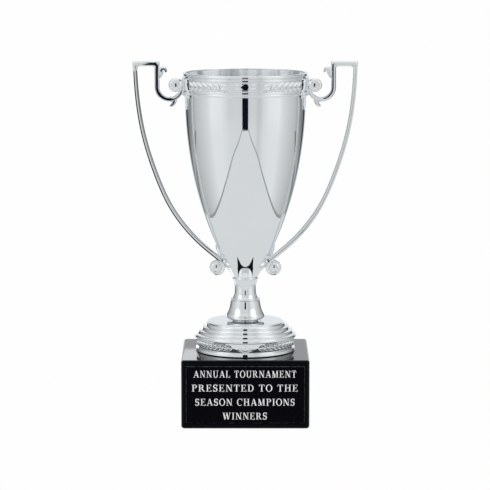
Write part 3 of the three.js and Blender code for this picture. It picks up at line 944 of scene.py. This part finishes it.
def handle_screws():
    lean = radians(27.5)
    axes = {"upper": Vector((1, 0, 0)), "lower": Vector((cos(lean), 0, -sin(lean)))}
    for where, axis in axes.items():
        washer, screw = f"{where}_washer", f"{where}_screw"
        middle = (low(f"{washer}_right") + high(f"{washer}_right")) / 2
        seat = Vector((middle.x, 0, middle.z)) - axis * 0.25
        length = (high(f"{screw}_right").x - seat.x) / axis.x - 0.6
        place = onto_axis(seat, axis)
        place_pair(pan_head_screw(f"{where}_fixing", length), place, screw)
        place_pair(mesh_object(f"{where}_disc", washer_shape(1.8, 3.2, 0, 0.5)), place, washer)


def threaded_rod():
    """The tie rod, with a thread cut along its whole length."""
    bottom, top = low("tie_rod").z, high("tie_rod").z
    pitch, depth, radius = 0.8, 0.42, high("tie_rod").x
    angles = np.linspace(0, TURN, 24, endpoint=False)
    loops = []
    for z in np.arange(bottom, top + 0.01, pitch / 5):
        taper = min(1.0, 0.75 + 0.4 * min(top - z, z - bottom))
        loop = []
        for a in angles:
            wave = abs(((z / pitch - a / TURN) % 1) * 2 - 1)
            r = (radius - depth * wave) * taper
            loop.append((r * cos(a), r * sin(a), z))
        loops.append(loop)
    finish_piece(mesh_object("threaded_rod", skin(loops)), ZINC, "steel", "tie_rod")


def bowl_nut():
    """A hexagon nut with chamfered corners, on its washer."""
    flats, hole = 4.0, 2.7
    bottom, top = low("bowl_nut").z, high("bowl_nut").z
    loops = []
    for k in range(72):
        a = TURN * k / 72
        corner = flats / cos((a % (TURN / 6)) - TURN / 12)
        drop = 0.5 * (corner - flats) + 0.12
        ring = [(hole, bottom), (flats - 0.1, bottom), (corner, bottom + drop), (corner, top - drop)]
        ring += [(flats - 0.1, top), (hole + 0.4, top), (hole, top - 0.4)]
        loops.append([(r * cos(a), r * sin(a), z) for r, z in ring])
    finish_piece(mesh_object("bowl_hex_nut", skin(loops, closed=True)), ZINC, "steel", "bowl_nut")
    rim = high("bowl_washer")
    washer = washer_shape(hole, rim.x, low("bowl_washer").z, rim.z)
    finish_piece(mesh_object("bowl_disc", washer), ZINC, "steel", "bowl_washer")


# ---- Base and name plate


def rounding(radius, middle, start):
    """The (inset, height) levels of a quarter round, from its centre's height and its first angle."""
    return [(radius - x, height) for x, height in arc(0, middle, radius, start, start + 90, 8)]


def upright(shape, back):
    """A sheet built flat on its back, stood up to face the front at the plate's height."""
    return mapped(shape, lambda x, y, z: (x, back - z, PLATE_MIDDLE + y))


def base_body():
    side = 2 * BASE_HALF
    levels = [*rounding(1.7, 1.7, -90), *rounding(1.6, BASE_TOP - 1.6, 0)]
    block = mesh_object("base_block", rounded_box(side, side, 2.2, levels))
    cavity = rounded_box(side - 5.2, side - 5.2, 1.6, [(0, -1), (0.4, BASE_TOP - 3.0)], 4)
    clearance = 0.35
    width, height = PLATE_WIDTH + 2 * clearance, PLATE_HEIGHT + 2 * clearance
    pocket = upright(rounded_box(width, height, 0.5, [(0, 0), (0, 3)], 4), POCKET_FLOOR)
    hole = turned([(0, 20), (ROD_HOLE, 20), (ROD_HOLE, BASE_TOP + 1), (0, BASE_TOP + 1)], 32)
    carve(block, [cavity, pocket, hole])
    flatten_shading(finish_piece(block, BLACK_GLOSS, "base_plastic", "base_shell"))


def plate_body():
    thickness = PLATE_BACK - PLATE_FACE
    levels = [(0, 0), (0, thickness - 0.4), (0.45, thickness)]
    sheet = rounded_box(PLATE_WIDTH, PLATE_HEIGHT, 0.6, levels, 5)
    plate = mesh_object("award_plate", upright(sheet, PLATE_BACK), 25)
    plate = finish_piece(plate, LACQUER, "plate", "name_plate")
    flatten_shading(plate)
    second_look(plate, CUT_EDGE, lambda face: -0.9 < face.normal.y < -0.2)


# Bold serif letters in a box one unit high, from straight strokes and arcs.
THICK = 0.135
THIN = 0.06
SLANT = THICK * 1.15
SERIF = 0.1


def stroke(x0, y0, x1, y1, weight):
    """A straight stroke with level ends, weight being its width along the line of writing."""
    half = weight / 2
    return [(x0 - half, y0), (x0 + half, y0), (x1 + half, y1), (x1 - half, y1)]


def tick(x, bottom, top):
    """A thin upright stroke."""
    return stroke(x, bottom, x, top, THIN)


def level(x0, x1, y):
    """A thin level stroke at a height."""
    return [(x0, y - THIN / 2), (x1, y - THIN / 2), (x1, y + THIN / 2), (x0, y + THIN / 2)]


def foot_line(x0, x1):
    return level(x0, x1, THIN / 2)


def head_line(x0, x1):
    return level(x0, x1, 1 - THIN / 2)


def post(x, weight=THICK, bottom=0.0, foot=True, head=True):
    """An upright stroke with slab serifs at its foot and its head."""
    reach = weight / 2 + SERIF
    parts = [stroke(x, bottom, x, 1, weight)]
    if foot:
        parts.append(foot_line(x - reach, x + reach))
    if head:
        parts.append(head_line(x - reach, x + reach))
    return parts


def curl(x, y, rx, ry, start, end):
    """An elliptical stroke, thick at its sides and thin at its top and bottom, as a run of quads."""
    angles = np.radians(np.linspace(start, end, max(4, abs(end - start) // 12)))
    outer = [(x + rx * cos(a), y + ry * sin(a)) for a in angles]
    inner = [(x + (rx - THICK) * cos(a), y + (ry - THIN) * sin(a)) for a in angles]
    return [[outer[i], outer[i + 1], inner[i + 1], inner[i]] for i in range(len(angles) - 1)]


# Each letter's width and its strokes.
LETTERS = {
    " ": (0.37, []),
    "A": (0.88, [stroke(0.12, 0, 0.43, 1, THIN), stroke(0.76, 0, 0.43, 1, SLANT), level(0.22, 0.62, 0.32),
                 foot_line(0, 0.27), foot_line(0.58, 0.9)]),
    "C": (0.8, [*curl(0.42, 0.5, 0.4, 0.52, 50, 312), tick(0.73, 0.68, 0.98)]),
    "D": (0.84, [*post(0.2), *curl(0.36, 0.5, 0.44, 0.5, -90, 90)]),
    "E": (0.76, [*post(0.2), foot_line(0.2, 0.69), head_line(0.2, 0.66), level(0.2, 0.5, 0.52),
                 tick(0.68, 0, 0.25), tick(0.64, 0.77, 1), tick(0.5, 0.41, 0.63)]),
    "H": (0.92, [*post(0.2), *post(0.72), level(0.2, 0.72, 0.52)]),
    "I": (0.42, post(0.21)),
    "L": (0.72, [*post(0.2), foot_line(0.2, 0.67), tick(0.66, 0, 0.28)]),
    "M": (1.08, [*post(0.17, THIN), *post(0.88), stroke(0.5, 0, 0.22, 1, SLANT),
                 stroke(0.5, 0, 0.84, 1, THIN)]),
    "N": (0.92, [*post(0.17, THIN), *post(0.76, THIN), stroke(0.74, 0, 0.2, 1, SLANT)]),
    "O": (0.86, curl(0.43, 0.5, 0.42, 0.52, 0, 360)),
    "P": (0.74, [*post(0.2), *curl(0.34, 0.74, 0.36, 0.26, -90, 90)]),
    "R": (0.88, [*post(0.2), *curl(0.34, 0.74, 0.34, 0.26, -90, 90), stroke(0.75, 0, 0.44, 0.5, SLANT),
                 foot_line(0.66, 0.9)]),
    "S": (0.66, [*curl(0.33, 0.72, 0.27, 0.3, 25, 290), *curl(0.33, 0.29, 0.28, 0.31, 110, -155),
                 tick(0.56, 0.72, 0.99), tick(0.08, 0.01, 0.28)]),
    "T": (0.8, [*post(0.4, head=False), head_line(0.04, 0.76), tick(0.07, 0.74, 1), tick(0.73, 0.74, 1)]),
    "U": (0.9, [*post(0.2, bottom=0.32, foot=False), head_line(0.56, 0.88), tick(0.72, 0.32, 1),
                *curl(0.44, 0.34, 0.32, 0.36, 180, 360)]),
    "W": (1.2, [stroke(0.34, 0, 0.14, 1, SLANT), stroke(0.36, 0, 0.6, 1, THIN),
                stroke(0.82, 0, 0.6, 1, SLANT), stroke(0.84, 0, 1.06, 1, THIN),
                head_line(0, 0.3), head_line(0.46, 0.74), head_line(0.94, 1.18)]),
}
LETTER_GAP = 0.13
CAPITALS = 4.2
# Each line of the plate, its width, and the height of its middle above the plate's.
PLATE_LINES = [
    ("ANNUAL TOURNAMENT", 61.5, 12.5),
    ("PRESENTED TO THE", 63.7, 4.1),
    ("SEASON CHAMPIONS", 59.8, -4.4),
    ("WINNERS", 26.9, -12.8),
]


def line_of_letters(text, width, middle):
    """The strokes of one centred line, its letters spaced out to fill the width."""
    advances = [LETTERS[key][0] + LETTER_GAP for key in text]
    natural = sum(advances)
    stretch = width / (natural * CAPITALS)
    x = -natural / 2
    shapes = []
    for key, advance in zip(text, advances):
        for outline in LETTERS[key][1]:
            placed = [((x + px) * CAPITALS * stretch, middle + (py - 0.5) * CAPITALS) for px, py in outline]
            shapes.append(skin([[(px, py, z) for px, py in placed] for z in (0, 0.03)]))
        x += advance
    return together(*shapes)


def lettering():
    lines = [line_of_letters(*line) for line in PLATE_LINES]
    shape = upright(together(*lines), PLATE_FACE + 0.01)
    finish_piece(mesh_object("plate_lettering", shape), ENGRAVED, "engraving")


# ---- Studio: floor, reflected cards, lights and camera

CAMERA_PLACE = Vector((-0.0002, -1.494, 0.3097))
CAMERA_PITCH = radians(7.8)
CAMERA_LENS = 183.7


def stage_piece(name, shape, colour, strength, seen=False):
    """A glowing surface: what the camera sees behind the object, or else what the object mirrors."""
    made = bpy.data.materials.new(name)
    made.use_nodes = True
    tree = made.node_tree
    tree.nodes.clear()
    light = add_node(tree, "Emission", {"Color": (*colour, 1), "Strength": strength})
    add_node(tree, "OutputMaterial", {"Surface": light.outputs["Emission"]})
    obj = mesh_object(name, shape)
    obj.data.materials.append(made)
    obj.visible_camera = seen
    obj.visible_glossy = obj.visible_diffuse = not seen
    obj.visible_shadow = obj.visible_transmission = False


def sheet(corners):
    return corners, [tuple(range(len(corners)))]


def standing_sheet(low_x, high_x, y, bottom, top):
    return sheet([(low_x, y, bottom), (high_x, y, bottom), (high_x, y, top), (low_x, y, top)])


def table_outline():
    """Half of the table top's outline, from the dark card back along its right-hand edge."""
    near = [(80, -742), (98, -650), (134, -530), (166, -450), (186, -375), (195, -290)]
    far = [(203, -209), (209, -120), (226, 46), (244, 200), (250, 300)]
    return through([*near, *far], 6)


def studio_surfaces():
    """The white sweep that the camera sees, and the table, cards and edges that the metal mirrors."""
    floor = sheet([(x, y, -0.05) for x, y in arc(0, 0, 6000, 0, 354, 59)])
    white = (0.99, 0.99, 0.99)
    stage_piece("floor_seen", floor, white, 1.0, seen=True)
    dome_outline = [(0, -4000), *arc(0, 0, 8000, -30, 90, 24)]
    stage_piece("backdrop_seen", turned(dome_outline, 48), white, 1.0, seen=True)
    edge = table_outline()
    table = sheet([(x, y, -0.2) for x, y in [*edge, *[(-x, y) for x, y in reversed(edge)]]])
    stage_piece("table_reflected", table, (0.985, 1.0, 1.0), 0.75)
    stage_piece("dark_card", standing_sheet(-72, 68, -735, 0, 330), (0.35, 0.55, 1.0), 0.012)
    rim = sides(edge, np.linspace(16, 8, len(edge)))
    for side, name in ((-1, "left"), (1, "right")):
        loops = []
        for inner, outer in rim:
            corners = ((inner, -0.1), (outer, -0.1), (outer, -0.15), (inner, -0.15))
            loops.append([(side * x, y, z) for (x, y), z in corners])
        stage_piece(f"table_edge_{name}", skin(loops), (0.95, 1.0, 1.0), 0.33)
    seam = sheet([(-900, 300, -0.1), (900, 300, -0.1), (900, 375, -0.1), (-900, 375, -0.1)])
    stage_piece("sweep_seam", seam, (0.95, 1.0, 1.0), 0.22)
    stage_piece("small_flag", standing_sheet(-60, -29, 46, 49.3, 62), (0.97, 0.99, 1.0), 1.7)


# Brightness of the studio by the angle round from the front, in degrees, as the polished metal shows it:
# well below the horizon, near it, and above it.
SURROUND = [
    (0, 0.74, 0.66, 0.7), (14, 0.74, 0.69, 0.7), (30, 0.75, 0.69, 0.7), (47, 0.82, 0.86, 0.82),
    (66, 0.83, 0.9, 0.86), (76, 0.74, 0.76, 0.74), (90, 0.65, 0.66, 0.66), (107, 0.56, 0.56, 0.56),
    (126, 0.46, 0.3, 0.4), (139, 0.45, 0.2, 0.3), (143, 0.3, 0.03, 0.05), (147, 0.3, 0.03, 0.05),
    (151, 0.6, 0.4, 0.5), (158, 1.0, 1.05, 0.84), (180, 1.0, 1.05, 0.84),
]


def maths(tree, operation, *values):
    """A Math node over sockets or numbers."""
    node = tree.nodes.new("ShaderNodeMath")
    node.operation = operation
    for socket, value in zip(node.inputs, values):
        put(tree, socket, value)
    return node.outputs["Value"]


def faded(tree, value, start, end, top=1.0):
    """A smooth step of a value from nought at the start to the top at the end."""
    node = add_node(tree, "MapRange", {"Value": value, "From Min": start, "From Max": end, "To Max": top})
    node.interpolation_type = "SMOOTHSTEP"
    return node.outputs["Result"]


def mixed(tree, share, first, second, blend="MIX"):
    """A colour mix of sockets or plain values."""
    node = tree.nodes.new("ShaderNodeMix")
    node.data_type = "RGBA"
    node.blend_type = blend
    for name, value in (("Factor", share), ("A", first), ("B", second)):
        put(tree, next(s for s in node.inputs if s.name == name and s.enabled), value)
    return next(s for s in node.outputs if s.enabled)


def tinted(angle, brightness):
    """A grey of the studio, a little bluer behind the object than in front of it."""
    blue = 0.035 if angle > 150 else 0.0
    return brightness * (1 - blue), brightness, brightness * (1 + blue)


def studio_light():
    """Soft light from all round, which fades from side to side, with two soft boxes high at the sides and a
    pale screen to the right of the camera."""
    world = bpy.data.worlds.new("studio")
    world.use_nodes = True
    bpy.context.scene.world = world
    tree = world.node_tree
    place = add_node(tree, "TexCoord", {}).outputs["Generated"]
    split = add_node(tree, "SeparateXYZ", {"Vector": place})
    x, y, z = (split.outputs[axis] for axis in "XYZ")
    sideways, forward = maths(tree, "ABSOLUTE", x), maths(tree, "MULTIPLY", y, -1.0)
    share = maths(tree, "DIVIDE", maths(tree, "ARCTAN2", sideways, forward), pi)
    below, near, above = (
        ramp(tree, share, *[(row[0] / 180, tinted(row[0], row[k])) for row in SURROUND]) for k in (1, 2, 3)
    )
    light = mixed(tree, faded(tree, z, -0.27, -0.13), below, near)
    light = mixed(tree, faded(tree, z, 0.0, 0.08), light, above)
    light = mixed(tree, faded(tree, z, 0.65, 0.85), light, (0.93, 0.93, 0.93, 1))
    turn, rise = radians(60), radians(33)
    way = (sin(turn) * cos(rise), -cos(turn) * cos(rise), sin(rise))
    parts = [maths(tree, "MULTIPLY", part, weight) for part, weight in zip((sideways, y, z), way)]
    facing = maths(tree, "ADD", maths(tree, "ADD", parts[0], parts[1]), parts[2])
    boxes = faded(tree, facing, cos(radians(24)), cos(radians(6)), 0.4)
    light = mixed(tree, 1.0, light, boxes, "ADD")
    round_about = maths(tree, "DIVIDE", maths(tree, "ARCTAN2", x, forward), pi)
    screen = ramp(tree, round_about, (0.1, (1, 1, 1)), (0.14, (0.86, 0.86, 0.86)), (0.19, (1, 1, 1)))
    light = mixed(tree, 1.0, light, screen, "MULTIPLY")
    tree.links.new(light, tree.nodes["Background"].inputs["Color"])


def plate_light():
    """A soft light from the front that only the matt surfaces pick up."""
    data = bpy.data.lights.new("front soft box", "AREA")
    data.energy = 14
    data.size = 0.9
    obj = add_object("front soft box", data)
    obj.location = (0, -1.3, 0.75)
    obj.rotation_euler = (Vector((0, 0, 0.05)) - obj.location).to_track_quat("-Z", "Y").to_euler()
    obj.visible_glossy = obj.visible_camera = False


def camera():
    data = bpy.data.cameras.new("camera")
    data.sensor_width = 36
    data.lens = CAMERA_LENS
    obj = add_object("camera", data)
    obj.location = CAMERA_PLACE
    obj.rotation_euler = (pi / 2 - CAMERA_PITCH, 0, 0)
    bpy.context.scene.camera = obj


# ---- The whole trophy

paint_hidden_nodes()
base_body()
plate_body()
lettering()
foot_body()
stem()
bowl_body()
rim_band()
brackets()
handles()
handle_screws()
threaded_rod()
bowl_nut()
studio_surfaces()
studio_light()
plate_light()
camera()
bpy.context.scene.view_settings.view_transform = "Standard"
